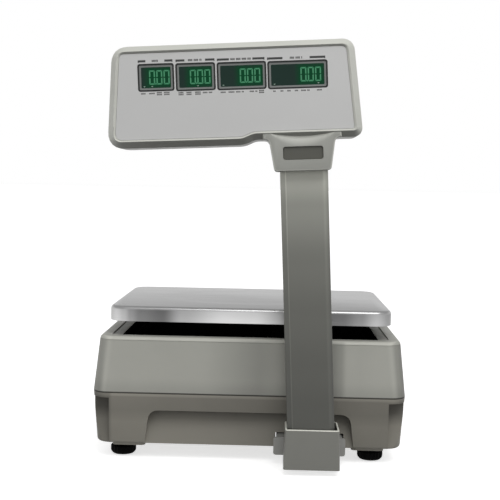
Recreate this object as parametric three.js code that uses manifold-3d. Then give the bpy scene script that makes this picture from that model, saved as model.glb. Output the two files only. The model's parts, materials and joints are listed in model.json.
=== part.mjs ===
// Pole-display label-printing price scale. Millimetres, +Z up.
// +X is to the right seen from the customer's side, the customer stands at -Y, the operator at +Y.
// The origin is on the table, under the centre of the whole scale's box.
import * as THREE from 'three';
import { mergeVertices } from 'three/addons/utils/BufferGeometryUtils.js';
import Module from 'manifold-3d';

const wasm = await Module();
wasm.setup();

// ---------------------------------------------------------------- driving dimensions
const GAP = 0.3;                       // air between neighbouring pieces

const OVERALL_DEPTH = 450;             // customer's display face to the operator's edge
const BASE_W = 392;                    // widest, at the parting line
const BASE_D = 387;
const BASE_Y = OVERALL_DEPTH / 2 - BASE_D / 2;
const BASE_REAR = BASE_Y - BASE_D / 2; // the side that faces the customer
const CORNER_R = 20;
const PARTING_Z = 85.35;
const UPPER_DRAFT = 0.1;               // the housing narrows by this much per mm above the parting line
const LOWER_DRAFT = 0.068;             // and the base by this much per mm below it
const WALL = 3;

const FLOOR_Z = 20.2;                  // underside of the base
const POST_Z = 17.2;                   // underside of the foot posts
const HOUSING_TOP = 155;
const RIM = 12;                        // flat border round the well
const WELL_X = 162;                    // half width of the well under the platter
const WELL_FRONT = 85;
const SHELF_X = 174.5;
const CREASE_Z = 149.6;                // fine groove round the housing under its top edge
const CREASE = 0.7;
const SHELF_DEEP = 1.5;
const WELL_REAR = BASE_REAR + UPPER_DRAFT * (HOUSING_TOP - PARTING_Z) + RIM;
const WELL_R = 8;

const SLOPE_Y = 108;                   // the console slopes down from here
const SLOPE_FOOT_Y = 220;
const SLOPE_FOOT_Z = 100;
const SLOPE_ANGLE = Math.atan2(HOUSING_TOP - SLOPE_FOOT_Z, SLOPE_FOOT_Y - SLOPE_Y);

const PLATTER_W = 356;
const PLATTER_D = 240;
const PLATTER_Y = -27;
const PLATTER_TOP = 191.5;
const PLATTER_SKIRT = 19;
const PLATTER_T = 1.2;
const PLATTER_R = 22;

const FOOT_X = [-160, 155.5];
const FOOT_Y = [-127.5, 190];
const FOOT_R = 16.4;
const FOOT_H = 12;                     // height of the knurled disc
const BOSS_Z = 40;                     // top of the bosses that take the feet's studs

const POLE_X = 77.9;                   // bracket centre
const POLE_Y = -OVERALL_DEPTH / 2 + 34;
const PIVOT_Z = 22;                    // lower column screw, which the column leans about
const LEAN = THREE.MathUtils.degToRad(2.8);
const COLUMN_W = 56.4;
const COLUMN_D = 37.4;
const BRACKET_W = 64.6;                // at its upper edge
const BRACKET_FLARE = 0.001;           // it widens by this share for each mm below that
const BRACKET_D = 45;
const BRACKET_Z = [7.8, 56.4];
const BRACKET_WALL = 2.3;
const BRACKET_CHAMFER = 1;           // outer upper edge
const ARM_X = [36, 118];
const ARM_PLATE_X = [32, 120.9];       // its end plate covers the tunnel's edges
const ARM_Z = [13.1, 35.3];
const ARM_END_Y = -64;
const ARM_SHEET = 2.5;
const TUNNEL_GAP = 1.6;                // air between the arm and its tunnel in the base
const ARM_SCREW = { x: [49.9, 105.9], y: -80, top: 46 };

const HEAD_DEPTH = 68;
const HEAD_TOP = [482.3, 483.5];         // upper corners of the display panel, left and right
const HEAD_LOW = 383;                  // lower edge left of the step
const HEAD_STEP = 388.6;               // lower edge above the neck
const LIP = 2;                         // the panel lies this deep, behind an inner bevel as wide
const RIDGE = [0.9, 0.2];              // flat ridge outside that bevel: sideways, up and down
const BORDER = 6.9;                    // outer bevel
const BORDER_DEPTH = 10;
const PANEL_T = 1.5;
const HEAD_WALL = 1.5;                 // behind the panel
const NECK_LOW = 341.8;

const WINDOWS = [                      // display openings: left, right, lower and upper edge
  ['tare', -189.6, -147.3, 438.3, 470.2],
  ['weight', -145.7, -99.6, 437.5, 469.7],
  ['unit_price', -98, -40.9, 437.1, 469.2],
  ['total', -39.6, 29.7, 436.4, 468.6],
];

// ---------------------------------------------------------------- materials
function finish(color, roughness, metalness = 0) {
  return new THREE.MeshStandardMaterial({ color, roughness, metalness });
}
const HOUSING_GREY = finish('#96968f', 0.5);
const BASE_GREY = finish('#706f68', 0.55);
const HEAD_GREY = finish('#b9bab2', 0.5);
const PANEL_GREY = finish('#b4b4b4', 0.6);
const METAL_GREY = finish('#77776f', 0.45, 0.3);
const STAINLESS = finish('#b8b8b8', 0.3, 1);
const ALUMINIUM = finish('#c4c6c8', 0.4, 1);
const STEEL = finish('#9a9c9e', 0.4, 1);
const BLACK = finish('#111111', 0.6);
const RUBBER = finish('#0a0a0a', 0.85);
const DARK_GREY = finish('#52524c', 0.6);
const LCD = finish('#2d3732', 0.2);
const BOARD = finish('#1f5a34', 0.6);
const PAPER = finish('#f2f0ea', 0.8);
const GLASS = finish('#c8e070', 0.1);
const CREAM = finish('#d8d8d2', 0.5);

// ---------------------------------------------------------------- outlines and solids
function roundedRect(x0, x1, y0, y1, r) {
  const s = new THREE.Shape();
  s.moveTo(x0 + r, y0);
  s.lineTo(x1 - r, y0);
  s.absarc(x1 - r, y0 + r, r, -Math.PI / 2, 0);
  s.lineTo(x1, y1 - r);
  s.absarc(x1 - r, y1 - r, r, 0, Math.PI / 2);
  s.lineTo(x0 + r, y1);
  s.absarc(x0 + r, y1 - r, r, Math.PI / 2, Math.PI);
  s.lineTo(x0, y0 + r);
  s.absarc(x0 + r, y0 + r, r, Math.PI, Math.PI * 1.5);
  return s;
}

// A polygon whose corners are [x, y, radius].
function roundedPolygon(corners) {
  const s = new THREE.Shape();
  const n = corners.length;
  const at = (i) => new THREE.Vector2(corners[(i + n) % n][0], corners[(i + n) % n][1]);
  for (let i = 0; i < n; i += 1) {
    const here = at(i);
    const back = at(i - 1).sub(here).normalize();
    const ahead = at(i + 1).sub(here).normalize();
    const cut = corners[i][2] / Math.tan(Math.acos(back.dot(ahead)) / 2);
    const a = here.clone().addScaledVector(back, cut);
    const b = here.clone().addScaledVector(ahead, cut);
    if (i === 0) s.moveTo(a.x, a.y);
    else s.lineTo(a.x, a.y);
    if (corners[i][2] > 0) s.quadraticCurveTo(here.x, here.y, b.x, b.y);
  }
  return s;
}

function toSolid(geometry) {
  const g = geometry.index ? geometry.toNonIndexed() : geometry.clone();
  g.deleteAttribute('normal');
  g.deleteAttribute('uv');
  const merged = mergeVertices(g, 1e-4);
  const vertProperties = new Float32Array(merged.attributes.position.array);
  const triVerts = new Uint32Array(merged.index.array);
  return new wasm.Manifold(new wasm.Mesh({ numProp: 3, vertProperties, triVerts }));
}

function toGeometry(solid) {
  const m = solid.getMesh();
  const g = new THREE.BufferGeometry();
  g.setAttribute('position', new THREE.BufferAttribute(new Float32Array(m.vertProperties), 3));
  g.setIndex(new THREE.BufferAttribute(new Uint32Array(m.triVerts), 1));
  g.computeVertexNormals();
  return g;
}

// An outline pushed from 0 to length; an edge rounds both ends.
function extrude(shape, length, { edge = 0, rings = 2, curve = 5 } = {}) {
  return new THREE.ExtrudeGeometry(shape, {
    depth: length - 2 * edge,
    bevelEnabled: edge > 0,
    bevelThickness: edge,
    bevelSize: edge,
    bevelOffset: -edge,
    bevelSegments: rings,
    curveSegments: curve,
  }).translate(0, 0, edge);
}

const X = new THREE.Vector3(1, 0, 0);
const Y = new THREE.Vector3(0, 1, 0);
const Z = new THREE.Vector3(0, 0, 1);

function alongZ(shape, z0, z1, options) {
  return extrude(shape, z1 - z0, options).translate(0, 0, z0);
}

// The outline is drawn in (y, z) and runs along X.
function alongX(shape, x0, x1, options) {
  const g = extrude(shape, x1 - x0, options);
  g.applyMatrix4(new THREE.Matrix4().makeBasis(Y, Z, X));
  return g.translate(x0, 0, 0);
}

// The outline is drawn in (x, z) and runs along Y.
function alongY(shape, y0, y1, options) {
  const g = extrude(shape, y1 - y0, options);
  g.applyMatrix4(new THREE.Matrix4().makeBasis(X, Z, Y.clone().negate()));
  return g.translate(0, y1, 0);
}

function box(x0, x1, y0, y1, z0, z1) {
  return new THREE.BoxGeometry(x1 - x0, y1 - y0, z1 - z0)
    .translate((x0 + x1) / 2, (y0 + y1) / 2, (z0 + z1) / 2);
}

function rod(radius, axis, a0, a1, centre, sides = 24) {
  const g = new THREE.CylinderGeometry(radius, radius, a1 - a0, sides);
  if (axis === 'x') g.rotateZ(-Math.PI / 2);
  if (axis === 'z') g.rotateX(Math.PI / 2);
  const mid = (a0 + a1) / 2;
  const place = { x: [mid, ...centre], y: [centre[0], mid, centre[1]], z: [...centre, mid] }[axis];
  return g.translate(...place);
}

const join = (...parts) => parts.map((p) => toSolid(p)).reduce((a, b) => a.add(b));
const cut = (solid, ...parts) => parts.reduce((a, p) => a.subtract(toSolid(p)), solid);

function polygon(points) {
  return roundedPolygon(points.map(([x, y]) => [x, y, 0]));
}

// ---------------------------------------------------------------- scene graph
const scale = new THREE.Group();
const pole = new THREE.Group();        // leans about the lower column screw
pole.position.set(POLE_X, POLE_Y, PIVOT_Z);
pole.rotation.y = -LEAN;
scale.add(pole);

const slope = new THREE.Group();       // local y runs down the console, local z points out of it
slope.position.set(0, SLOPE_Y, HOUSING_TOP);
slope.rotation.x = -SLOPE_ANGLE;
scale.add(slope);

function piece(name, shape, material, parent = scale) {
  const geometry = shape.isBufferGeometry ? shape : toGeometry(shape);
  const mesh = new THREE.Mesh(geometry, material);
  mesh.name = name;
  parent.add(mesh);
  return mesh;
}

// ---------------------------------------------------------------- casings
// The plan outline shrunk by inset. It narrows by taper for each mm above the parting line.
function casing(taper, inset, z0, z1, edge) {
  const hx = BASE_W / 2 - inset;
  const hy = BASE_D / 2 - inset;
  const shape = roundedRect(-hx, hx, BASE_Y - hy, BASE_Y + hy, CORNER_R - inset);
  const g = alongZ(shape, z0, z1, { edge, rings: 3, curve: 6 });
  const p = g.attributes.position;
  for (let i = 0; i < p.count; i += 1) {
    const t = taper * (p.getZ(i) - PARTING_Z);
    p.setX(i, p.getX(i) - Math.sign(p.getX(i)) * t);
    p.setY(i, p.getY(i) - Math.sign(p.getY(i) - BASE_Y) * t);
  }
  return g;
}

// Everything above the console's slope, lowered by inset.
function aboveSlope(inset) {
  const drop = inset / Math.cos(SLOPE_ANGLE);
  const run = SLOPE_FOOT_Y - SLOPE_Y;
  const fall = HOUSING_TOP - SLOPE_FOOT_Z;
  return alongX(polygon([
    [SLOPE_Y, HOUSING_TOP - drop],
    [SLOPE_Y + run * 2, HOUSING_TOP - drop - fall * 2],
    [SLOPE_Y + run * 2, HOUSING_TOP + 50],
    [SLOPE_Y - 0.5 * run, HOUSING_TOP + 50],
    [SLOPE_Y - 0.5 * run, HOUSING_TOP - drop + fall * 0.5],
  ]), -BASE_W, BASE_W);
}

const PRINTER_X = [-182, -98];         // printer bay
const BAY_Y = [5, 104];                // along the slope
const SLOT_Y = 114;                    // the label slot runs from the door's edge to here
const KEYPAD = { x0: -80, x1: 178, y0: 14, y1: 116 };
const RELEASE = { x: -89, y: 98, proud: 2.5 };   // push button that frees the printer door
const BUBBLE = { x: 150, y: 100, r: 6.5 };

function onSlope(geometry) {
  return geometry.rotateX(-SLOPE_ANGLE).translate(0, SLOPE_Y, HOUSING_TOP);
}

function upperHousing() {
  const outer = cut(toSolid(casing(UPPER_DRAFT, 0, PARTING_Z - 10, HOUSING_TOP, 5)), aboveSlope(0));
  const inner = cut(
    toSolid(casing(UPPER_DRAFT, WALL, PARTING_Z - 20, HOUSING_TOP - WALL, 4)), aboveSlope(WALL));
  const crease = cut(
    toSolid(casing(UPPER_DRAFT, -5, CREASE_Z, CREASE_Z + CREASE, 0)),
    casing(UPPER_DRAFT, CREASE, CREASE_Z - 5, CREASE_Z + 5, 0),
    box(-BASE_W, BASE_W, SLOPE_Y, BASE_W, CREASE_Z - 5, CREASE_Z + 5));
  return cut(
    outer.subtract(inner).subtract(crease),
    box(-BASE_W, BASE_W, -BASE_D, BASE_D, PARTING_Z - 30, PARTING_Z + GAP),
    alongZ(roundedRect(-WELL_X, WELL_X, WELL_REAR, WELL_FRONT, WELL_R), 120, 200),
    alongZ(roundedRect(-SHELF_X, SHELF_X, WELL_REAR, WELL_FRONT, WELL_R), HOUSING_TOP - SHELF_DEEP, 200),
    onSlope(alongZ(roundedRect(KEYPAD.x0, KEYPAD.x1, KEYPAD.y0, KEYPAD.y1, 4), -1, 5)),
    onSlope(box(...PRINTER_X, BAY_Y[0], SLOT_Y, -20, 5)),
    onSlope(box(RELEASE.x - 4, RELEASE.x + 4, RELEASE.y - 6.5, RELEASE.y + 6.5, -20, 5)),
    rod(BUBBLE.r + GAP, 'z', 140, 160, [BUBBLE.x, BUBBLE.y]),
  );
}
piece('upper_housing', upperHousing(), HOUSING_GREY);

const ARCH_LOW_X = [-132, 134.5];      // left and right end at the table
const ARCH_HIGH_X = [-124, 126.5];     // and at the top
const ARCH_TOP = 63.3;
const ARCH_DEEP = [BASE_REAR + 7, BASE_REAR + 21];  // wall depth at the bottom and at the top
const NOTCH = { x: 174, top: 78.3, low: 24, deep: [8, 24] };   // corner notch beside each rear post
const POST_X = [129.5, 170];
const POCKET = { x: 188, y: [58, 168], z: [34, 72] };
const FACE_X = POCKET.x + GAP;         // inner face of the fittings' flanges
const INLET = { y: 108, z: 53, half: [14, 10] };
const ROCKER = { y: 76, z: 53, half: [6.5, 10] };
const PORTS = { y: 146, z: 53, half: [16, 9] };
const FOOT_PLACES = FOOT_X.flatMap((x) => FOOT_Y.map((y) => [x, y]));

function rearArch() {
  const front = alongY(roundedPolygon([
    [ARCH_LOW_X[0], 0, 0],
    [ARCH_LOW_X[1], 0, 0],
    [ARCH_HIGH_X[1], ARCH_TOP, 14],
    [ARCH_HIGH_X[0], ARCH_TOP, 14],
  ]), BASE_REAR - 20, BASE_REAR + 60);
  const section = alongX(polygon([
    [BASE_REAR - 20, 0],
    [ARCH_DEEP[0], 0],
    [ARCH_DEEP[0], FLOOR_Z],
    [ARCH_DEEP[1], ARCH_TOP + 1],
    [BASE_REAR - 20, ARCH_TOP + 1],
  ]), -BASE_W, BASE_W);
  return toSolid(front).intersect(toSolid(section));
}

function cornerNotch(side) {
  const section = polygon([
    [BASE_REAR - 5, 0],
    [BASE_REAR + NOTCH.deep[0], 0],
    [BASE_REAR + NOTCH.deep[0], NOTCH.low],
    [BASE_REAR + NOTCH.deep[1], NOTCH.top],
    [BASE_REAR - 5, NOTCH.top],
  ]);
  const x = [side * NOTCH.x, side * BASE_W];
  return alongX(section, Math.min(...x), Math.max(...x));
}

function lowerBase() {
  const outer = casing(-LOWER_DRAFT, 0, FLOOR_Z, PARTING_Z + 10, 3);
  const posts = FOOT_PLACES.map(([x, y]) => {
    const across = POST_X.map((edge) => Math.sign(x) * edge);
    const along = y < 0 ? [BASE_REAR + 8, y + 27] : [y - 27, BASE_REAR + BASE_D - 12];
    return alongZ(roundedRect(Math.min(...across), Math.max(...across), ...along, 5), POST_Z, FLOOR_Z + 8);
  });
  const cavity = casing(-LOWER_DRAFT, WALL, FLOOR_Z + WALL, PARTING_Z + 20, 3);
  const cavityRear = box(-BASE_W, BASE_W, BASE_REAR - 30, ARCH_DEEP[1] + WALL, 0, PARTING_Z + 30);
  const sideBack = (s) => box(
    Math.min(s * (NOTCH.x - WALL), s * BASE_W), Math.max(s * (NOTCH.x - WALL), s * BASE_W),
    BASE_REAR, BASE_REAR + NOTCH.deep[1] + WALL, 0, NOTCH.top + WALL);
  const pocketBack = box(POCKET.x - WALL, BASE_W, POCKET.y[0] - WALL, POCKET.y[1] + WALL,
    POCKET.z[0] - WALL, POCKET.z[1] + WALL);
  const tunnelX = [ARM_X[0] - TUNNEL_GAP, ARM_X[1] + TUNNEL_GAP];
  const tunnelTop = ARM_Z[1] + TUNNEL_GAP;
  const tunnelEnd = ARM_END_Y + TUNNEL_GAP;
  const tunnelBack = box(
    tunnelX[0] - WALL, tunnelX[1] + WALL, BASE_REAR, tunnelEnd + WALL, 0, tunnelTop + WALL);
  const hollow = cut(
    toSolid(cavity), cavityRear, sideBack(-1), sideBack(1), pocketBack, tunnelBack,
    ...FOOT_PLACES.map((place) => rod(9, 'z', 0, BOSS_Z, place)),
    ...ARM_SCREW.x.map((x) => rod(5.5, 'z', ARM_Z[1], ARM_SCREW.top + WALL, [x, ARM_SCREW.y])));
  const body = join(outer, ...posts).subtract(hollow).subtract(rearArch());
  return cut(
    body,
    box(-BASE_W, BASE_W, -BASE_D, BASE_D, PARTING_Z, PARTING_Z + 40),
    cornerNotch(-1),
    cornerNotch(1),
    box(POCKET.x, BASE_W, ...POCKET.y, ...POCKET.z),
    box(...tunnelX, BASE_REAR - 20, tunnelEnd, 0, tunnelTop),
    ...FOOT_PLACES.map((place) => rod(4.5, 'z', 0, BOSS_Z - 2, place, 16)),
    ...ARM_SCREW.x.map((x) => rod(2.6, 'z', ARM_Z[1], ARM_SCREW.top + 1, [x, ARM_SCREW.y], 12)),
    ...[INLET, ROCKER, PORTS].map(({ y, z, half }) => box(
      170, 195, y - half[0] - GAP, y + half[0] + GAP, z - half[1] - GAP, z + half[1] + GAP)),
  );
}
piece('lower_base', lowerBase(), BASE_GREY);

// ---------------------------------------------------------------- mains inlet, switch and ports

function mainsInlet() {
  const { y, z, half } = INLET;
  const body = join(
    box(166, FACE_X, y - half[0], y + half[0], z - half[1], z + half[1]),
    alongX(roundedRect(y - 17, y + 17, z - 13, z + 13, 3), FACE_X, FACE_X + 2, { curve: 3 }),
  );
  const hollow = cut(body, box(172, 200, y - 12, y + 12, z - 8, z + 8));
  const pins = [[-7, -2], [0, 3], [7, -2]].map(([dy, dz]) => (
    box(171, 182, y + dy - 1, y + dy + 1, z + dz - 2, z + dz + 2)));
  return pins.reduce((a, p) => a.add(toSolid(p)), hollow);
}
piece('mains_inlet', mainsInlet(), BLACK);

piece('rocker_bezel', cut(
  join(
    box(174, FACE_X, ROCKER.y - ROCKER.half[0], ROCKER.y + ROCKER.half[0],
      ROCKER.z - ROCKER.half[1], ROCKER.z + ROCKER.half[1]),
    box(FACE_X, FACE_X + 1.5, ROCKER.y - 8, ROCKER.y + 8, ROCKER.z - 12, ROCKER.z + 12),
  ),
  box(176, 200, ROCKER.y - 5.3, ROCKER.y + 5.3, ROCKER.z - 8.8, ROCKER.z + 8.8),
), BLACK);

const rockerSection = polygon([[0, -7], [0, 7], [8.2, 7], [5.2, 0], [6.6, -7]]);
piece('power_rocker', extrude(rockerSection, 10)
  .applyMatrix4(new THREE.Matrix4().makeBasis(X, Z, Y.clone().negate()))
  .translate(182, ROCKER.y + 5, ROCKER.z), BLACK);

piece('io_panel', cut(
  join(
    box(170, FACE_X, PORTS.y - PORTS.half[0], PORTS.y + PORTS.half[0],
      PORTS.z - PORTS.half[1], PORTS.z + PORTS.half[1]),
    box(FACE_X, FACE_X + 1.2, PORTS.y - 18, PORTS.y + 18, PORTS.z - 12, PORTS.z + 12),
  ),
  box(176, 200, PORTS.y - 13, PORTS.y + 2, PORTS.z - 6, PORTS.z + 6),
  box(176, 200, PORTS.y + 5, PORTS.y + 14, PORTS.z - 6, PORTS.z + 6),
), STEEL);

// ---------------------------------------------------------------- levelling feet
function foot() {
  const lobes = 20;
  const outline = new THREE.Shape();
  for (let i = 0; i < lobes * 2; i += 1) {
    const a = (i / (lobes * 2)) * Math.PI * 2;
    const r = FOOT_R - (i % 2) * 1.2;
    if (i === 0) outline.moveTo(r, 0);
    else outline.lineTo(r * Math.cos(a), r * Math.sin(a));
  }
  const rounded = new THREE.LatheGeometry([
    [0, 0], [FOOT_R - 6.5, 0], [FOOT_R - 3, 1], [FOOT_R - 1, 3], [FOOT_R, 6],
    [FOOT_R, FOOT_H - 2], [FOOT_R - 2, FOOT_H], [0, FOOT_H],
  ].map(([r, h]) => new THREE.Vector2(r, h)), lobes * 2).rotateX(Math.PI / 2);
  const disc = toSolid(alongZ(outline, -1, FOOT_H + 1)).intersect(toSolid(rounded));
  return disc.add(join(
    rod(11, 'z', FOOT_H - 1, FOOT_H + 4, [0, 0], 20),
    rod(4, 'z', FOOT_H + 3, BOSS_Z - 4, [0, 0], 12),
  ));
}
const footSolid = foot();
FOOT_PLACES.forEach(([x, y]) => {
  const name = `foot_${y < 0 ? 'rear' : 'front'}_${x < 0 ? 'left' : 'right'}`;
  piece(name, footSolid, RUBBER).position.set(x, y, 0);
});

// ---------------------------------------------------------------- weighing mechanism
const CELL = { half: 65, wide: 15, z: [76, 98] };
const INNER_FLOOR = FLOOR_Z + WALL + GAP;

piece('load_cell_pedestal', cut(
  join(
    box(-70, -22, PLATTER_Y - 30, PLATTER_Y + 30, INNER_FLOOR, INNER_FLOOR + 5),
    box(-64, -28, PLATTER_Y - 15, PLATTER_Y + 15, INNER_FLOOR + 4, CELL.z[0] - GAP),
  ),
  box(-56, -36, PLATTER_Y - 20, PLATTER_Y + 20, INNER_FLOOR + 10, CELL.z[0] - 10),
), ALUMINIUM);

piece('load_cell', cut(
  toSolid(box(-CELL.half, CELL.half, PLATTER_Y - CELL.wide, PLATTER_Y + CELL.wide, ...CELL.z)),
  rod(7.5, 'y', PLATTER_Y - 20, PLATTER_Y + 20, [-11, 87]),
  rod(7.5, 'y', PLATTER_Y - 20, PLATTER_Y + 20, [11, 87]),
  box(-11, 11, PLATTER_Y - 20, PLATTER_Y + 20, 83, 91),
), ALUMINIUM);

piece('load_cell_spacer', box(30, 62, PLATTER_Y - 14, PLATTER_Y + 14, CELL.z[1] + GAP, 112), STEEL);

const PAD_X = 128;
const PAD_Y = 78;
const CARRIER_Z = [172, 178];

function platterCarrier() {
  const ring = cut(
    toSolid(alongZ(roundedRect(-142, 142, PLATTER_Y - 92, PLATTER_Y + 92, 14), ...CARRIER_Z)),
    ...[-1, 1].flatMap((sx) => [-1, 1].map((sy) => box(
      Math.min(sx * 26, sx * 122), Math.max(sx * 26, sx * 122),
      PLATTER_Y + Math.min(sy * 14, sy * 72), PLATTER_Y + Math.max(sy * 14, sy * 72), 160, 190))),
  );
  return ring
    .add(toSolid(box(26, 66, PLATTER_Y - 18, PLATTER_Y + 18, 112 + GAP, CARRIER_Z[0] + 2)))
    .add(toSolid(box(-110, 110, PLATTER_Y - 6, PLATTER_Y + 6, 160, CARRIER_Z[0] + 2)));
}
piece('platter_carrier', platterCarrier(), BLACK);

const PAD_TOP = PLATTER_TOP - PLATTER_T - GAP;
[['left', -PAD_X], ['right', PAD_X]].forEach(([side, x]) => {
  [['rear', -PAD_Y], ['front', PAD_Y]].forEach(([end, y]) => {
    piece(`pad_${end}_${side}`, rod(9, 'z', CARRIER_Z[1] + GAP, PAD_TOP, [x, PLATTER_Y + y], 16), RUBBER);
  });
});

function wellLiner() {
  const rear = WELL_REAR + GAP;
  const edge = WELL_X - GAP;
  const tray = cut(
    toSolid(alongZ(roundedRect(-edge, edge, rear, WELL_FRONT - GAP, WELL_R), 138, HOUSING_TOP - SHELF_DEEP)),
    alongZ(roundedRect(-edge + 2, edge - 2, rear + 2, WELL_FRONT - GAP - 2, WELL_R - 2), 140, 160),
    box(20, 72, PLATTER_Y - 24, PLATTER_Y + 24, 130, 150),
  );
  const ribs = [-1, 1].map((s) => (
    box(s * 148 - 1.2, s * 148 + 1.2, rear + 1, WELL_FRONT - 1, 139, HOUSING_TOP - 4)));
  return ribs.reduce((a, r) => a.add(toSolid(r)), tray);
}
piece('well_liner', wellLiner(), BLACK);

function platter() {
  const hx = PLATTER_W / 2;
  const hy = PLATTER_D / 2;
  const bottom = PLATTER_TOP - PLATTER_SKIRT;
  const block = (t, top) => alongZ(
    roundedRect(-hx + t, hx - t, PLATTER_Y - hy + t, PLATTER_Y + hy - t, PLATTER_R - t),
    bottom - 20, top, { edge: 4.5 - t, rings: 3, curve: 6 });
  return cut(toSolid(block(0, PLATTER_TOP)), block(PLATTER_T, PLATTER_TOP - PLATTER_T),
    box(-BASE_W, BASE_W, -BASE_D, BASE_D, 100, bottom));
}
piece('platter', platter(), STAINLESS);

piece('bubble_level_body', cut(
  toSolid(rod(BUBBLE.r, 'z', 145, HOUSING_TOP + 0.5, [BUBBLE.x, BUBBLE.y])),
  rod(BUBBLE.r - 1.5, 'z', 147, 160, [BUBBLE.x, BUBBLE.y]),
), BLACK);
piece('bubble_level_vial',
  rod(BUBBLE.r - 1.5 - GAP, 'z', 147 + GAP, HOUSING_TOP + 0.2, [BUBBLE.x, BUBBLE.y]), GLASS);

// ---------------------------------------------------------------- pole bracket and arm
const bracketY = [POLE_Y - BRACKET_D / 2, POLE_Y + BRACKET_D / 2];
const SCREW_LOW = PIVOT_Z;
const SCREW_HIGH = 46;

const bracketX = [POLE_X - BRACKET_W / 2, POLE_X + BRACKET_W / 2];
const bracketBlock = alongZ(roundedRect(...bracketX, ...bracketY, 3), BRACKET_Z[0] - 5, BRACKET_Z[1],
  { edge: BRACKET_CHAMFER, rings: 1, curve: 3 });
const flared = bracketBlock.attributes.position;
for (let i = 0; i < flared.count; i += 1) {
  const share = 1 + BRACKET_FLARE * (BRACKET_Z[1] - flared.getZ(i));
  flared.setX(i, POLE_X + (flared.getX(i) - POLE_X) * share);
}
piece('pole_bracket', cut(
  toSolid(bracketBlock),
  box(bracketX[0] - 5, bracketX[1] + 5, bracketY[0] - 1, bracketY[1] + 1, 0, BRACKET_Z[0]),
  box(bracketX[0] + BRACKET_WALL, bracketX[1] - BRACKET_WALL, bracketY[0] + BRACKET_WALL,
    bracketY[1] - BRACKET_WALL, BRACKET_Z[0] + BRACKET_WALL, 80),
  rod(3.4, 'y', bracketY[1] - 5, bracketY[1] + 5, [POLE_X, SCREW_LOW], 16),
  alongY(roundedRect(POLE_X - 5.5, POLE_X + 5.5, SCREW_HIGH - 3.6, SCREW_HIGH + 3.6, 3.5),
    bracketY[1] - 5, bracketY[1] + 5, { curve: 3 }),
), METAL_GREY);

// A channel that opens downwards, closed at the bracket by a plate whose ends show beside it.
const armFront = bracketY[1] + GAP;
piece('pole_arm', cut(
  join(
    alongY(roundedRect(...ARM_PLATE_X, ...ARM_Z, 3), armFront, armFront + ARM_SHEET, { curve: 3 }),
    alongY(roundedRect(ARM_X[0], ARM_X[1], ARM_Z[0] + 1, ARM_Z[1], 3), armFront + 1, ARM_END_Y,
      { curve: 3 })),
  box(ARM_X[0] + ARM_SHEET, ARM_X[1] - ARM_SHEET, armFront + ARM_SHEET, 0, 0, ARM_Z[1] - ARM_SHEET),
  rod(6.5, 'y', armFront - 5, armFront + 5, [POLE_X, SCREW_LOW], 20),
  ...ARM_SCREW.x.map((x) => rod(2.6, 'z', 30, 40, [x, ARM_SCREW.y], 12)),
), METAL_GREY);

ARM_SCREW.x.forEach((x, i) => {
  const under = ARM_Z[1] - ARM_SHEET - GAP;
  piece(`arm_screw_${['left', 'right'][i]}`, join(
    rod(2.3, 'z', under - 1, ARM_SCREW.top, [x, ARM_SCREW.y], 12),
    rod(4.5, 'z', under - 3.2, under, [x, ARM_SCREW.y], 16),
  ), STEEL);
});

piece('column_pivot_screw', join(
  rod(3, 'y', bracketY[1] - 7.5, bracketY[1] + 1, [POLE_X, SCREW_LOW], 16),
  rod(5.5, 'y', bracketY[1] + GAP, bracketY[1] + 3.3, [POLE_X, SCREW_LOW], 16),
), STEEL);

// ---------------------------------------------------------------- column (pole frame: origin at the pivot)
const COLUMN_LOW = -9.5;
const COLUMN_TOP = 376;
const SCREW_UP = SCREW_HIGH - PIVOT_Z;

// Square tube with its two customer-side corners bevelled.
function columnOutline(inset) {
  const hx = COLUMN_W / 2 - inset;
  const hy = COLUMN_D / 2 - inset;
  return roundedPolygon([
    [-hx, hy, 2],
    [-hx, -hy + 4, 1],
    [-hx + 6, -hy, 1],
    [hx - 6, -hy, 1],
    [hx, -hy + 4, 1],
    [hx, hy, 2],
  ]);
}

piece('column', cut(
  toSolid(alongZ(columnOutline(0), COLUMN_LOW, COLUMN_TOP, { curve: 2 })),
  alongZ(columnOutline(2), COLUMN_LOW - 5, COLUMN_TOP + 5, { curve: 2 }),
  rod(3.3, 'y', 10, 25, [0, 0], 16),
  rod(3.3, 'y', 10, 25, [0, SCREW_UP], 16),
), METAL_GREY, pole);

piece('column_clamp_screw', join(
  rod(3, 'y', 15, 23.5, [0, SCREW_UP], 16),
  rod(5.5, 'y', BRACKET_D / 2 + GAP, BRACKET_D / 2 + 3.3, [0, SCREW_UP], 16),
), STEEL, pole);

const cablePath = new THREE.CatmullRomCurve3([
  [4, 4, -6], [6, 6, 90], [-4, 5, 190], [3, 6, 290], [0, 8, 392],
].map((p) => new THREE.Vector3(...p)));
const cableSection = new THREE.Shape().absarc(0, 0, 3, 0, Math.PI * 2);
piece('display_cable', new THREE.ExtrudeGeometry(cableSection,
  { extrudePath: cablePath, steps: 24, curveSegments: 4, bevelEnabled: false }), BLACK, pole);

// ---------------------------------------------------------------- display head (pole frame)
const FACE = HEAD_DEPTH / 2;           // the head's lip is this far from its middle plane

// The panel's trapezoid with the step over the neck, grown sideways and up and down, with a radius for
// its lower left, lower right, upper right and upper left corners.
function panelOutline(sideways, upDown, [a, b, c, d]) {
  return roundedPolygon([
    [-218.6 - sideways, HEAD_LOW - upDown, a],
    [-70.5, HEAD_LOW - upDown, 24],
    [-57.5, HEAD_STEP - upDown, 24],
    [59.2 + sideways, HEAD_STEP - upDown, b],
    [51.6 + sideways, HEAD_TOP[1] + upDown, c],
    [-210 - sideways, HEAD_TOP[0] + upDown, d],
  ]);
}
const PANEL_R = [8, 3, 7, 6];

const NECK_DEEP = 33;
const NECK_TOP = HEAD_STEP - 1;
const NECK_FILLET = 7;                 // where the neck meets the head's underside
const BADGE = { x: [-24.3, 22.4], z: [354.8, 370.1], r: 3 };
const CHIN = { x: -0.9, low: 370.9, r: 56, deep: 6.5, slope: 2.1 };   // scoop above the badge

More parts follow.
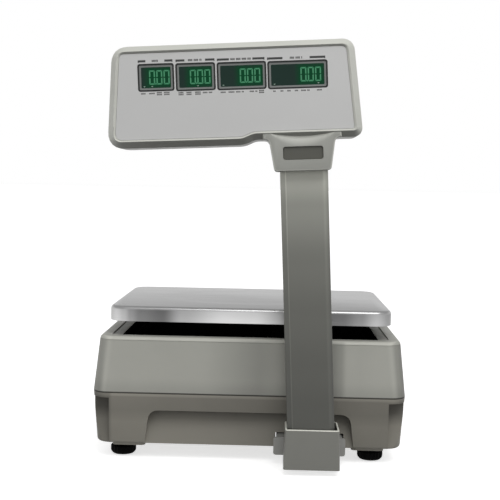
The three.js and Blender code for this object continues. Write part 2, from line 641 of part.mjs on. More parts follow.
function neckSolid() {
  const under = HEAD_STEP - BORDER - LIP;
  const outline = roundedPolygon([
    [-34.7, NECK_LOW, 5],
    [31.2, NECK_LOW, 5],
    [37, under, NECK_FILLET],
    [37 + NECK_FILLET, under, 0],
    [37 + NECK_FILLET, NECK_TOP, 0],
    [-40.1 - NECK_FILLET, NECK_TOP, 0],
    [-40.1 - NECK_FILLET, under, 0],
    [-40.1, under, NECK_FILLET],
  ]);
  const block = alongY(outline, -NECK_DEEP, NECK_DEEP, { edge: 2, rings: 2, curve: 5 });
  const near = CHIN.r + 5 * CHIN.slope;
  const far = CHIN.r - CHIN.deep * CHIN.slope;
  const scoop = new THREE.CylinderGeometry(far, near, CHIN.deep + 5, 96)
    .translate(CHIN.x, -NECK_DEEP + (CHIN.deep - 5) / 2, CHIN.low + CHIN.r);
  return cut(toSolid(block), scoop);
}

// One half of the head, built on the customer's side (-Y).
function headShell() {
  const rim = new THREE.ExtrudeGeometry(panelOutline(LIP + RIDGE[0], LIP + RIDGE[1], [12, 4, 8, 13]), {
    depth: HEAD_DEPTH - 2 * BORDER_DEPTH,
    bevelEnabled: true,
    bevelThickness: BORDER_DEPTH,
    bevelSize: BORDER,
    bevelSegments: 1,
    curveSegments: 6,
  }).applyMatrix4(new THREE.Matrix4().makeBasis(X, Z, Y.clone().negate()))
    .translate(0, FACE - BORDER_DEPTH, 0);
  const innerBevel = new THREE.ExtrudeGeometry(panelOutline(0, 0, PANEL_R), {
    depth: 5,
    bevelEnabled: true,
    bevelThickness: LIP,
    bevelSize: LIP,
    bevelSegments: 1,
    curveSegments: 5,
  }).applyMatrix4(new THREE.Matrix4().makeBasis(X, Z, Y.clone().negate()))
    .translate(0, -FACE, 0);
  const floor = -FACE + LIP + PANEL_T;
  const hollowFront = floor + HEAD_WALL;
  const columnRoom = alongZ(roundedRect(-COLUMN_W / 2 - GAP, COLUMN_W / 2 + GAP,
    -COLUMN_D / 2 - GAP, COLUMN_D / 2 + GAP, 0.5), NECK_LOW - 20, HEAD_STEP + 14, { curve: 1 });
  return cut(
    toSolid(rim).add(neckSolid()),
    alongY(panelOutline(-7, -7, [4, 4, 4, 4]), hollowFront, -hollowFront, { curve: 4 }),
    alongY(panelOutline(0, 0, PANEL_R), -FACE, floor, { curve: 5 }),
    innerBevel,
    box(WINDOWS[0][1] - 6, WINDOWS[3][2] + 6, -FACE - 5, -FACE + 12, WINDOWS[3][3] - 6, WINDOWS[0][4] + 5),
    columnRoom,
    alongY(roundedRect(...BADGE.x, ...BADGE.z, BADGE.r), -NECK_DEEP - 5, -NECK_DEEP + 4, { curve: 3 }),
    box(-400, 400, -GAP / 2, 100, 0, 600),
  );
}

// Mirrors a customer-side solid to the operator's side.
function mirrored(solid) {
  return solid.mirror([0, 1, 0]);
}

const shell = headShell();
piece('head_front_shell', shell, HEAD_GREY, pole);
piece('head_rear_shell', mirrored(shell), HEAD_GREY, pole);

const PANEL_Y = [-FACE + LIP + GAP / 2, -FACE + LIP + PANEL_T - GAP / 2];

function displayPanel() {
  const holes = WINDOWS.map(([, x0, x1, z0, z1]) => (
    alongY(roundedRect(x0, x1, z0, z1, 3), PANEL_Y[0] - 5, PANEL_Y[1] + 5, { curve: 3 })));
  const radii = PANEL_R.map((r) => r - GAP);
  return cut(toSolid(alongY(panelOutline(-GAP, -GAP, radii), ...PANEL_Y, { curve: 5 })), ...holes);
}

const panel = displayPanel();
const badge = toSolid(alongY(
  roundedRect(BADGE.x[0] + GAP, BADGE.x[1] - GAP, BADGE.z[0] + GAP, BADGE.z[1] - GAP, BADGE.r),
  -NECK_DEEP + 2.4, -NECK_DEEP + 4 - GAP, { curve: 3 }));
const BOARD_Y = -FACE + 14;
const board = toSolid(box(-198, 40, BOARD_Y, BOARD_Y + 1.6, 406, 472));

[['customer', (s) => s], ['operator', mirrored]].forEach(([side, place]) => {
  piece(`${side}_panel`, place(panel), PANEL_GREY, pole);
  piece(`${side}_neck_badge`, place(badge), DARK_GREY, pole);
  piece(`${side}_display_board`, place(board), BOARD, pole);
  WINDOWS.forEach(([name, x0, x1, z0, z1]) => {
    const glass = toSolid(alongY(
      roundedRect(x0 + GAP, x1 - GAP, z0 + GAP, z1 - GAP, 2.7),
      PANEL_Y[0] + 0.5, BOARD_Y - GAP, { curve: 3 }));
    piece(`${side}_lcd_${name}`, place(glass), LCD, pole);
  });
});

// ---------------------------------------------------------------- operator console
piece('keypad_membrane', alongZ(
  roundedRect(KEYPAD.x0 + GAP, KEYPAD.x1 - GAP, KEYPAD.y0 + GAP, KEYPAD.y1 - GAP, 3.7),
  -0.7, 0.3, { curve: 3 },
), CREAM, slope);

const DOOR_X = [PRINTER_X[0] + 0.5, PRINTER_X[1] - 0.5];
const HINGE = { y: BAY_Y[0] + 7, z: -3, r: 1.5 };

function printerDoor() {
  const leaf = cut(
    toSolid(alongZ(roundedRect(...DOOR_X, HINGE.y + 3.5, BAY_Y[1], 2), -3, 0.5, { curve: 3 })),
    box(DOOR_X[0] + 2.5, DOOR_X[1] - 2.5, HINGE.y + 6, BAY_Y[1] - 2.5, -5, -1.5),
  );
  const knuckles = [0.18, 0.82].map((t) => {
    const x = THREE.MathUtils.lerp(...DOOR_X, t);
    return cut(
      join(rod(3, 'x', x - 7, x + 7, [HINGE.y, HINGE.z]), box(x - 7, x + 7, HINGE.y, HINGE.y + 7, -3, -1.5)),
      rod(HINGE.r + GAP, 'x', x - 9, x + 9, [HINGE.y, HINGE.z], 16),
    );
  });
  return knuckles.reduce((a, k) => a.add(k), leaf);
}
piece('printer_door', printerDoor(), HOUSING_GREY, slope);
piece('door_hinge_pin',
  rod(HINGE.r, 'x', DOOR_X[0] + 2, DOOR_X[1] - 2, [HINGE.y, HINGE.z], 16), STEEL, slope);
piece('door_release_button',
  box(RELEASE.x - 3.5, RELEASE.x + 3.5, RELEASE.y - 6, RELEASE.y + 6, -7, RELEASE.proud), DARK_GREY, slope);

// ---------------------------------------------------------------- label printer
const PLATE = 2;
const chassisX = [PRINTER_X[0] + 4, PRINTER_X[1] - 4];
const ROLL = { y: 150, z: 84, r: 34, core: 13 };
const SPOOL = { y: 196, z: 62, r: 12 };
const CHASSIS_Z = BOSS_Z + 4;
const PLATEN = { y: 209, z: 91, r: 6.5 };

function printerChassis() {
  const below = (y) => HOUSING_TOP - (y - SLOPE_Y) * Math.tan(SLOPE_ANGLE) - 12;
  const side = polygon([
    [106, CHASSIS_Z], [217, CHASSIS_Z], [217, below(217)], [106, below(108)],
  ]);
  const plates = [chassisX[0], chassisX[1] - PLATE].map((x) => alongX(side, x, x + PLATE));
  const bore = (p, r) => rod(r, 'x', chassisX[0] - 5, chassisX[1] + 5, [p.y, p.z], 16);
  return cut(join(...plates, box(...chassisX, 106, 217, CHASSIS_Z, CHASSIS_Z + PLATE)),
    bore(ROLL, 3.4), bore(SPOOL, 3.4), bore(PLATEN, 3.4));
}
piece('printer_chassis', printerChassis(), STEEL);

function spindle(p, hub, x0, x1) {
  const centre = [p.y, p.z];
  return join(
    rod(3, 'x', chassisX[0] - 1, chassisX[1] + 1, centre, 16), rod(hub, 'x', x0, x1, centre, 24));
}
piece('label_spindle', spindle(ROLL, ROLL.core - GAP, chassisX[0] + 4, chassisX[1] - 4), BLACK);
piece('label_roll', cut(
  toSolid(rod(ROLL.r, 'x', chassisX[0] + 8, chassisX[1] - 8, [ROLL.y, ROLL.z], 40)),
  rod(ROLL.core, 'x', -200, 0, [ROLL.y, ROLL.z]),
), PAPER);
piece('backing_spool', spindle(SPOOL, SPOOL.r, chassisX[0] + 6, chassisX[1] - 6), BLACK);
piece('platen_roller', spindle(PLATEN, PLATEN.r, chassisX[0] + 3, chassisX[1] - 3), RUBBER);
const betweenPlates = [chassisX[0] + PLATE + GAP, chassisX[1] - PLATE - GAP];
piece('print_head', box(...betweenPlates, 192, PLATEN.y - PLATEN.r - GAP, 82, 97), DARK_GREY);
piece('tear_bar', box(...betweenPlates, PLATEN.y - 4, PLATEN.y + 7, 79, 84), STEEL);

// ---------------------------------------------------------------- electronics in the base
const standoffs = [-74, 54].flatMap((x) => [106, 199].map((y) => rod(3, 'z', INNER_FLOOR, 33, [x, y], 12)));
piece('main_board', join(box(-80, 60, 100, 205, 32, 34), ...standoffs), BOARD);
piece('power_supply', box(76, 160, 96, 176, INNER_FLOOR, 66), ALUMINIUM);

export default scale;
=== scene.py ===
import json
import math
import random

import bmesh
import bpy
from mathutils import Matrix, Vector


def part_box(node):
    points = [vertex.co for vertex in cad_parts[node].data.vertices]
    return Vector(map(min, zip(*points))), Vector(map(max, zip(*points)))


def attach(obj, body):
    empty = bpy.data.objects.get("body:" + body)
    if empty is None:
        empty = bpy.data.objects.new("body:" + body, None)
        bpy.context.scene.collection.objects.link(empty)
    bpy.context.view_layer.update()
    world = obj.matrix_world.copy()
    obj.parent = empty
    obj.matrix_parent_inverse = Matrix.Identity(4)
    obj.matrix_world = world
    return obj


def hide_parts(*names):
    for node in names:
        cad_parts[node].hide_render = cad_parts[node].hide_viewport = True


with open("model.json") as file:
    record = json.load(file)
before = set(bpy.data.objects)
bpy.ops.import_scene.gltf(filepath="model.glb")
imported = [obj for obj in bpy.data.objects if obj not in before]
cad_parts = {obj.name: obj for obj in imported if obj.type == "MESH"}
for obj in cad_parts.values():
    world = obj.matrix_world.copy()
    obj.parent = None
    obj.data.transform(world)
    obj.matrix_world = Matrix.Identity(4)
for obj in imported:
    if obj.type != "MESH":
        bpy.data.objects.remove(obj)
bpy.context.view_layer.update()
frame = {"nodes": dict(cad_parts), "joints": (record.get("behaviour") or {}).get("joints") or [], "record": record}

MM = 0.001

JOINTS = {joint["name"]: joint for joint in frame["joints"]}
BODY_OF = {node: body for body, nodes in frame["record"]["behaviour"]["bodies"].items() for node in nodes}
SLOT_OF = {part["node"]: part["material_slot"] for part in frame["record"]["subparts"]}


# ------------------------------------------------------------------ places
def local_box(node, matrix):
    """Lowest and highest corner of a CAD node in the frame of a matrix."""
    back = matrix.inverted()
    points = [back @ v.co for v in frame["nodes"][node].data.vertices]
    low = Vector([min(p[i] for p in points) for i in range(3)])
    high = Vector([max(p[i] for p in points) for i in range(3)])
    return low, high


def frame_opening(name):
    """Lowest and highest corner of an opening stated in the record."""
    corners = next(o for o in frame["record"]["physics"]["openings"] if o["name"] == name)["box_m"]
    return Vector(corners[0]), Vector(corners[1])


# pole frame: x across, z up the leaning column, the origin at its pivot
PIVOT = Vector(JOINTS["pole_lean"]["pos_m"])
LEAN = math.radians(JOINTS["pole_lean"]["range_deg"][1])
POLE = Matrix.Translation(PIVOT) @ Matrix.Rotation(-LEAN, 4, "Y")
# the same, seen from the operator's side
OPERATOR = POLE @ Matrix.Rotation(math.pi, 4, "Z")
NECK_TOP = PIVOT.z + 0.389

# console frame: x across, y down the slope, z out of it, the origin at a corner of the keypad
PRESS = Vector(JOINTS["release_press"]["axis"])
CONSOLE_TILT = Matrix.Rotation(-math.atan2(-PRESS.y, -PRESS.z), 4, "X")
PAD_LOW, PAD_HIGH = local_box("keypad_membrane", CONSOLE_TILT)
CONSOLE = CONSOLE_TILT @ Matrix.Translation((PAD_LOW.x, PAD_LOW.y, PAD_HIGH.z))
KEYPAD_WIDTH, KEYPAD_DEPTH = PAD_HIGH.x - PAD_LOW.x, PAD_HIGH.y - PAD_LOW.y


# ------------------------------------------------------------------ colours
def srgb(r, g, b):
    """Linear colour of an sRGB one given from 0 to 255."""
    def one(v):
        v /= 255
        return v / 12.92 if v <= 0.04045 else ((v + 0.055) / 1.055) ** 2.4
    return one(r), one(g), one(b)


def shade(color, k):
    return tuple(c * k for c in color)


# ------------------------------------------------------------------ material nodes
MIX_DARK, MIX_LIGHT, MIX_RESULT = 6, 7, 2   # the colour sockets of a Mix node
NOISE_LOW, NOISE_HIGH = 0.3, 0.7            # the range that most of a noise texture lies in


class Shader:
    """A Principled material, with short calls for its procedural nodes."""

    def __init__(self, name, color, roughness, metallic=0.0, **inputs):
        self.material = bpy.data.materials.new(name)
        self.material.use_nodes = True
        self.tree = self.material.node_tree
        self.bsdf = self.tree.nodes["Principled BSDF"]
        self.bsdf.inputs["Base Color"].default_value = (*color, 1)
        self.bsdf.inputs["Roughness"].default_value = roughness
        self.bsdf.inputs["Metallic"].default_value = metallic
        for key, value in inputs.items():
            self.bsdf.inputs[key.replace("_", " ")].default_value = value
        self.place = self.tree.nodes.new("ShaderNodeTexCoord").outputs["Object"]

    def node(self, kind, **settings):
        n = self.tree.nodes.new(kind)
        for key, value in settings.items():
            setattr(n, key, value)
        return n

    def link(self, a, b):
        self.tree.links.new(a, b)

    def glow(self, color, strength):
        """An even light of its own."""
        self.bsdf.inputs["Emission Color"].default_value = (*color, 1)
        self.bsdf.inputs["Emission Strength"].default_value = strength

    def noise(self, scale, detail=3.0, stretch=(1, 1, 1), rough=0.55):
        place = self.node("ShaderNodeMapping")
        place.inputs["Scale"].default_value = stretch
        self.link(self.place, place.inputs["Vector"])
        n = self.node("ShaderNodeTexNoise")
        n.inputs["Scale"].default_value = scale
        n.inputs["Detail"].default_value = detail
        n.inputs["Roughness"].default_value = rough
        self.link(place.outputs["Vector"], n.inputs["Vector"])
        return n.outputs["Fac"]

    def ramp(self, source, low, high, a, b):
        """Maps source from low..high to a..b, clamped."""
        n = self.node("ShaderNodeMapRange")
        for key, value in zip(("From Min", "From Max", "To Min", "To Max"), (low, high, a, b)):
            n.inputs[key].default_value = value
        self.link(source, n.inputs["Value"])
        return n.outputs["Result"]

    def spread(self, noise, a, b):
        """A noise texture spread over a..b."""
        return self.ramp(noise, NOISE_LOW, NOISE_HIGH, a, b)

    def tint(self, source, dark, light):
        """Base colour from dark to light as source goes from 0 to 1."""
        n = self.node("ShaderNodeMix", data_type="RGBA")
        n.inputs[MIX_DARK].default_value = (*dark, 1)
        n.inputs[MIX_LIGHT].default_value = (*light, 1)
        self.link(source, n.inputs[0])
        self.link(n.outputs[MIX_RESULT], self.bsdf.inputs["Base Color"])
        return n.outputs[MIX_RESULT]

    def math(self, operation, a, b=0):
        n = self.node("ShaderNodeMath", operation=operation)
        for socket, value in zip(n.inputs, (a, b)):
            if isinstance(value, (int, float)):
                socket.default_value = value
            else:
                self.link(value, socket)
        return n.outputs[0]

    def along(self, axis):
        """The object's own X, Y or Z."""
        n = self.node("ShaderNodeSeparateXYZ")
        self.link(self.place, n.inputs[0])
        return n.outputs[axis]

    def facing(self, axis):
        """The X, Y or Z of the surface normal, from -1 to 1."""
        n = self.node("ShaderNodeSeparateXYZ")
        coordinates = self.node("ShaderNodeTexCoord")
        self.link(coordinates.outputs["Normal"], n.inputs[0])
        return n.outputs[axis]

    def profile(self, source, stops):
        """A smooth curve through (position, value) stops."""
        low, high = stops[0][0], stops[-1][0]
        n = self.node("ShaderNodeValToRGB")
        n.color_ramp.interpolation = "EASE"
        while len(n.color_ramp.elements) < len(stops):
            n.color_ramp.elements.new(0.5)
        for element, (position, value) in zip(n.color_ramp.elements, stops):
            element.position = (position - low) / (high - low)
            element.color = (value, value, value, 1)
        self.link(self.ramp(source, low, high, 0, 1), n.inputs["Fac"])
        return self.math("MULTIPLY", n.outputs["Color"], 1)

    def scaled(self, color, factor):
        """Base colour multiplied by a factor."""
        n = self.node("ShaderNodeVectorMath", operation="SCALE")
        self.link(color, n.inputs[0])
        self.link(factor, n.inputs["Scale"])
        self.link(n.outputs[0], self.bsdf.inputs["Base Color"])

    def product(self, *factors):
        total = factors[0]
        for factor in factors[1:]:
            total = self.math("MULTIPLY", total, factor)
        return total

    def bump(self, height, strength, distance):
        n = self.node("ShaderNodeBump")
        n.inputs["Strength"].default_value = strength
        n.inputs["Distance"].default_value = distance
        self.link(height, n.inputs["Height"])
        self.link(n.outputs["Normal"], self.bsdf.inputs["Normal"])

    def roughness(self, source):
        self.link(source, self.bsdf.inputs["Roughness"])


# ------------------------------------------------------------------ materials
def moulded(name, color, roughness=0.5, grain=1400, depth=0.00004, spread=0.06, specular=0.4):
    """Moulded plastic or powder coat: fine grain, faint clouding of colour and gloss."""
    s = Shader(name, color, roughness, Specular_IOR_Level=specular)
    cloud = s.noise(9, 4)
    s.base = s.tint(s.spread(cloud, 0, 1), shade(color, 1 - spread), shade(color, 1 + spread * 0.6))
    s.roughness(s.spread(s.noise(60, 5), roughness - 0.07, roughness + 0.07))
    s.bump(s.noise(grain, 2, rough=0.7), 0.35, depth)
    return s


def brushed(name, color, roughness, stretch):
    """Metal with fine parallel scratches along the axis that stretch leaves long."""
    s = Shader(name, color, roughness, 1.0)
    lines = s.noise(260, 6, stretch, 0.7)
    cloud = s.noise(14, 3)
    both = s.math("ADD", s.math("MULTIPLY", lines, 0.7), s.math("MULTIPLY", cloud, 0.3))
    s.tint(s.spread(both, 0, 1), shade(color, 0.9), shade(color, 1.05))
    s.roughness(s.spread(lines, roughness - 0.08, roughness + 0.1))
    s.bump(lines, 0.25, 0.00002)
    return s


def housing_plastic():
    """Housing plastic with painted light: a painted shadow beside the column, painted shade on its ends, sides,
    shelf and lower seam, a painted highlight on its top edge.
    """
    s = moulded("housing_plastic", srgb(178, 178, 170), specular=0.25)
    # painted shadow of the column on the customer side, with painted shade and highlights at the left end and past
    # the column
    painted_light_across = s.profile(s.along("X"), [
        (-0.2, 0.98), (-0.192, 0.95), (-0.188, 0.84), (-0.18, 1.03), (-0.16, 1.0),   # left end
        (-0.06, 1.0), (0.01, 0.76), (0.038, 0.98), (0.05, 0.9), (0.085, 0.62),       # up to the column
        (0.105, 0.72), (0.113, 0.82), (0.122, 1.12), (0.14, 1.05), (0.2, 1.0)])      # past the column
    customer_side = s.ramp(s.facing("Y"), -0.9, -0.6, 1, 0)
    # painted light by facing: painted shade on the sides, a painted highlight on the rounded corners
    corner = s.profile(s.facing("X"), [(-1, 0.72), (-0.6, 0.85), (-0.25, 1.1), (0, 1.0),
                                       (0.25, 1.05), (0.6, 0.72), (1, 0.45)])
    # painted highlight on the rounded top edge, painted shade on the flat top and shelf under the pan
    up = s.profile(s.facing("Z"), [(0, 1.0), (0.2, 1.0), (0.5, 1.3), (0.8, 1.2), (0.97, 0.85), (1, 0.85)])
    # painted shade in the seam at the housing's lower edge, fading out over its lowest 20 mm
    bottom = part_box("upper_housing")[0].z
    low = s.profile(s.along("Z"), [(bottom, 0.4), (bottom + 0.0012, 0.84), (bottom + 0.02, 1.0),
                                   (bottom + 0.07, 1.0)])
    elsewhere = s.math("SUBTRACT", 1, customer_side)
    shaded = s.math("ADD", s.math("MULTIPLY", painted_light_across, customer_side), elsewhere)
    s.scaled(s.base, s.product(shaded, corner, up, low))
    return s


def base_plastic():
    """Base plastic with painted light: a painted highlight on the lip below the seam, painted shade in the seam,
    on its left end and in the arch.
    """
    s = moulded("base_plastic", srgb(137, 134, 125), 0.55, specular=0.25)
    # painted shade on the left end, with a painted highlight just inside it
    painted_light_across = s.profile(s.along("X"), [(-0.2, 0.72), (-0.174, 0.8), (-0.17, 1.14), (-0.08, 1.05),
                                      (0.0, 0.97), (0.2, 1.0)])
    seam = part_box("upper_housing")[0].z
    # painted highlight on the lip below the seam, painted shade in the seam itself
    lip = s.profile(s.along("Z"), [(seam - 0.03, 1.0), (seam - 0.0058, 1.0), (seam - 0.0042, 1.3),
                                   (seam - 0.0018, 1.45), (seam - 0.0012, 0.25), (seam, 0.2)])
    # painted shade in the arch, under its overhang
    arch_low, arch_high = frame_opening("rear_arch")
    painted_arch_shade_mask = s.math("MULTIPLY", s.ramp(s.along("Y"), arch_low.y, arch_low.y + 0.01, 0, 1),
                    s.ramp(s.along("Z"), arch_high.z - 0.012, arch_high.z + 0.003, 0, 1))
    s.scaled(s.base, s.product(painted_light_across, lip, s.ramp(painted_arch_shade_mask, 0, 1, 1, 0.55)))
    return s


def head_plastic():
    """Head plastic, with painted shade underneath and on the flat front of the neck."""
    s = moulded("head_plastic", srgb(206, 207, 199), 0.45)
    # painted shade on the flat front of the neck, and on all downward faces
    neck = s.ramp(s.along("Z"), NECK_TOP - 0.002, NECK_TOP, 1, 0)
    front = s.ramp(s.math("ABSOLUTE", s.facing("Y")), 0.93, 0.98, 0, 1)
    painted_underside_shade = s.ramp(s.facing("Z"), -0.8, -0.35, 0.42, 1)
    s.scaled(s.base, s.product(s.ramp(s.math("MULTIPLY", neck, front), 0, 1, 1, 0.6), painted_underside_shade))
    return s


def bracket_paint():
    """Powder coat, with a painted highlight on its upward faces along the upper edge."""
    s = moulded("bracket_paint", srgb(129, 129, 123), 0.4, 1600, 0.00003)
    # painted highlight: upward faces lightened
    s.scaled(s.base, s.ramp(s.facing("Z"), 0.25, 0.6, 1, 3.6))
    return s


def column_paint():
    """Powder coat with painted light: lighter up the column, a painted highlight down its left crease and a
    painted lighter strip by its right edge.
    """
    s = Shader("column_paint", (0.2, 0.2, 0.19), 0.42, Specular_IOR_Level=0.35)
    upright = s.node("ShaderNodeMapping", vector_type="TEXTURE")
    upright.inputs["Location"].default_value = PIVOT
    upright.inputs["Rotation"].default_value = (0, -LEAN, 0)
    s.link(s.place, upright.inputs["Vector"])
    s.place = upright.outputs["Vector"]
    low, high = local_box("column", POLE)
    length = high.z - low.z
    # painted light: darker near the floor, lighter towards the head
    rise = ((0, 0.085), (0.18, 0.098), (0.3, 0.116), (0.47, 0.142), (0.63, 0.19),
            (0.8, 0.31), (0.92, 0.62), (1, 0.8))
    tone = s.profile(s.along("Z"), [(low.z + t * length, value) for t, value in rise])
    # painted highlight on the left crease, and a painted lighter strip then darker edge on the right
    crease = low.x + 6.3 * MM
    painted_crease_and_edge_light = s.profile(s.along("X"), [(low.x, 1.0), (crease - 0.9 * MM, 0.95), (crease, 1.5),
                                    (crease + 0.9 * MM, 1.0), (high.x - 8 * MM, 1.0),
                                    (high.x - 5 * MM, 1.12), (high.x, 0.8)])
    cloud = s.tint(s.spread(s.noise(12, 3), 0, 1), (0.96, 0.97, 0.86), (1.0, 1.01, 0.9))
    s.scaled(cloud, s.math("MULTIPLY", tone, painted_crease_and_edge_light))
    s.roughness(s.spread(s.noise(50, 5), 0.36, 0.5))
    s.bump(s.noise(1600, 2, rough=0.7), 0.3, 0.00003)
    return s


def stainless():
    """Pan steel: painted reflections in soft stripes along its skirt, a painted highlight on its rounded edge, a
    shallow oval dish, fine brushing.
    """
    s = Shader("stainless_pan", (0.5, 0.5, 0.5), 0.3, 1.0)
    lines = s.noise(300, 5, (0.02, 1, 1), 0.7)
    # painted reflections of dark things round the pan, in bands along the skirt
    painted_reflection_bands = s.profile(s.along("X"), [
        (-0.178, 0.38), (-0.168, 0.54), (-0.158, 0.42), (-0.15, 0.27), (-0.138, 0.18),
        (-0.11, 0.13), (-0.085, 0.36), (-0.03, 0.58), (0.005, 0.55), (0.035, 0.4),
        (0.085, 0.16), (0.115, 0.15), (0.138, 0.24), (0.158, 0.42), (0.178, 0.24)])
    up = s.facing("Z")
    flat = s.ramp(up, 0.75, 0.97, 0, 1)
    # painted highlight on the rounded edge
    edge = s.math("MULTIPLY", s.ramp(up, 0.12, 0.5, 0, 1), s.math("SUBTRACT", 1, flat))
    skirt = s.math("SUBTRACT", s.math("SUBTRACT", 1, flat), edge)
    low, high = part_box("platter")
    centre = (low + high) / 2
    squares = [s.math("POWER", s.math("DIVIDE", s.math("SUBTRACT", s.along(axis), middle), half), 2)
               for axis, middle, half in (("X", centre.x - 0.003, 0.122), ("Y", centre.y, 0.078))]
    dish = s.ramp(s.math("POWER", s.math("ADD", *squares), 0.5), 0.84, 1.0, 0, 1)
    tone = s.math("ADD", s.math("MULTIPLY", skirt, painted_reflection_bands), s.math("MULTIPLY", edge, 0.5))
    tone = s.math("ADD", tone, s.math("MULTIPLY", flat, s.spread(lines, 0.47, 0.5)))
    s.scaled(s.tint(s.spread(lines, 0, 1), (0.97, 0.97, 0.97), (1, 1, 1)), tone)
    s.roughness(s.spread(lines, 0.26, 0.38))
    s.bump(s.math("ADD", s.math("MULTIPLY", lines, 0.02), dish), 0.5, 0.0007)
    return s


def lcd_glass(name, centre, half):
    """Dark display glass that glows green round its lit digits, centre and half size in its own frame."""
    dark, green = srgb(30, 48, 42), srgb(0, 64, 35)
    fade = 7.5 * MM
    s = Shader(name, dark, 0.2, Specular_IOR_Level=0.08)
    away = []
    for axis, middle, size in (("X", centre[0], half[0]), ("Z", centre[1], half[1])):
        offset = s.math("ABSOLUTE", s.math("SUBTRACT", s.along(axis), middle))
        away.append(s.math("POWER", s.math("MAXIMUM", s.math("SUBTRACT", offset, size), 0), 2))
    distance = s.math("POWER", s.math("ADD", *away), 0.5)
    near = s.ramp(distance, 0, fade, 1, 0)
    blotch = s.math("MULTIPLY", near, s.spread(s.noise(120, 3), 0.75, 1.1))
    s.link(s.tint(blotch, dark, green), s.bsdf.inputs["Emission Color"])
    s.bsdf.inputs["Emission Strength"].default_value = 0.2
    return s


BLACK = (0.005, 0.005, 0.005)
# by the material slot of the CAD node
MATERIALS = {
    "housing_plastic": housing_plastic(),
    "base_plastic": base_plastic(),
    "head_plastic": head_plastic(),
    "panel_overlay": moulded("panel_overlay", srgb(208, 208, 207), 0.5, 2600, 0.00001, 0.02),
    "pole_paint": column_paint(),
    "bracket_paint": bracket_paint(),
    "stainless": stainless(),
    "aluminium": brushed("aluminium_cast", (0.62, 0.63, 0.64), 0.42, (0.03, 1, 1)),
    "steel": brushed("zinc_steel", (0.5, 0.51, 0.52), 0.4, (0.05, 1, 1)),
    "black_plastic": moulded("black_plastic", (0.0025, 0.0025, 0.0025), 0.5, 1200, 0.00005, 0.2, 0.12),
    "rubber": moulded("black_rubber", (0.0016, 0.0015, 0.0014), 0.8, 900, 0.00008, 0.25, 0.06),
    "dark_plastic": moulded("dark_plastic", srgb(86, 86, 79), 0.5),
    "lcd_glass": moulded("lcd_body", srgb(45, 54, 50), 0.2),
    "circuit_board": moulded("circuit_board", srgb(24, 88, 50), 0.35, 500, 0.00006, 0.2),
    "label_paper": moulded("label_paper", (0.84, 0.83, 0.8), 0.75, 900, 0.00003, 0.03),
    "vial_glass": moulded("vial_glass", srgb(190, 214, 96), 0.06, 900, 0.000001, 0.02),
    "keypad_film": moulded("keypad_film", srgb(226, 226, 220), 0.45, 2400, 0.00001, 0.02),
}
# of the CAD nodes that differ from the rest of their slot
OWN_MATERIAL = {
    # black parts, kept pure black and without gloss so they also serve as painted shade under the pan
    "well_liner": moulded("well_black", BLACK, 0.7, 1200, 0.00004, 0.2, 0.0),
    "platter_carrier": moulded("carrier_black", BLACK, 0.7, 1200, 0.00004, 0.2, 0.0),
    "pole_arm": moulded("arm_paint", srgb(158, 158, 154), 0.4, 1600, 0.00003),
}
# of the prints, keys and display windows
INK = {
    "frame": moulded("display_frame", srgb(8, 9, 9), 0.5, 1600, 0.00001, 0.1),
    "margin": moulded("display_margin", srgb(120, 123, 121), 0.45, 1600, 0.00001, 0.04),
    "digit": moulded("lit_digit", srgb(54, 124, 88), 0.35, 1600, 0.00001, 0.05),
    "mark": moulded("display_mark", srgb(150, 176, 160), 0.4, 1600, 0.00001, 0.05),
    "print": moulded("panel_print", srgb(58, 58, 58), 0.55, 1600, 0.00001, 0.08),
    "key": moulded("key_cap", srgb(236, 236, 230), 0.4, 2400, 0.00001, 0.02),
    "key_grey": moulded("key_cap_grey", srgb(150, 154, 158), 0.4, 2400, 0.00001, 0.03),
    "key_green": moulded("key_cap_green", srgb(66, 142, 92), 0.4, 2400, 0.00001, 0.03),
    "key_red": moulded("key_cap_red", srgb(176, 62, 54), 0.4, 2400, 0.00001, 0.03),
}
INK["digit"].glow(srgb(60, 150, 100), 0.2)


# ------------------------------------------------------------------ mesh tools
EDGE_ANGLE = math.radians(32)    # faces that meet at more than this keep a sharp or bevelled edge
WELD = 0.02 * MM
FLAT_ANGLE = math.radians(0.6)


def new_object(name, bm, material, matrix=None):
    mesh = bpy.data.meshes.new(name)
    bm.to_mesh(mesh)
    bm.free()
    ob = bpy.data.objects.new(name, mesh)
    bpy.context.scene.collection.objects.link(ob)
    if matrix is not None:
        ob.matrix_world = matrix
    for shader in material if isinstance(material, list) else [material]:
        mesh.materials.append(shader.material)
    return ob


def stand_for(ob, node):
    """A piece that takes the place of a CAD node."""
    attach(ob, BODY_OF[node])
    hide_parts(node)


def add_on(ob, body):
    """A detail piece that stands for no CAD node of its own."""
    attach(ob, body)


def soften(bm):
    """Smooth shading, with sharp edges where faces meet at more than EDGE_ANGLE."""
    for face in bm.faces:
        face.smooth = True
    for edge in bm.edges:
        if len(edge.link_faces) == 2:
            edge.smooth = edge.calc_face_angle(0) < EDGE_ANGLE


def refined(node, width, material):
    """A clean copy of a CAD piece with rounded edges and smooth shading, which stands for it."""
    bm = bmesh.new()
    bm.from_mesh(frame["nodes"][node].data)
    bmesh.ops.remove_doubles(bm, verts=bm.verts, dist=WELD)
    bmesh.ops.dissolve_limit(bm, angle_limit=FLAT_ANGLE, verts=bm.verts, edges=bm.edges)
    bmesh.ops.recalc_face_normals(bm, faces=bm.faces)
    soften(bm)
    ob = new_object(node + "_finish", bm, material)
    bevel = ob.modifiers.new("edges", "BEVEL")
    bevel.width = width
    bevel.segments = 2
    bevel.limit_method = "ANGLE"
    bevel.angle_limit = EDGE_ANGLE
    bevel.use_clamp_overlap = True
    bevel.harden_normals = True
    bevel.miter_outer = "MITER_ARC"
    stand_for(ob, node)


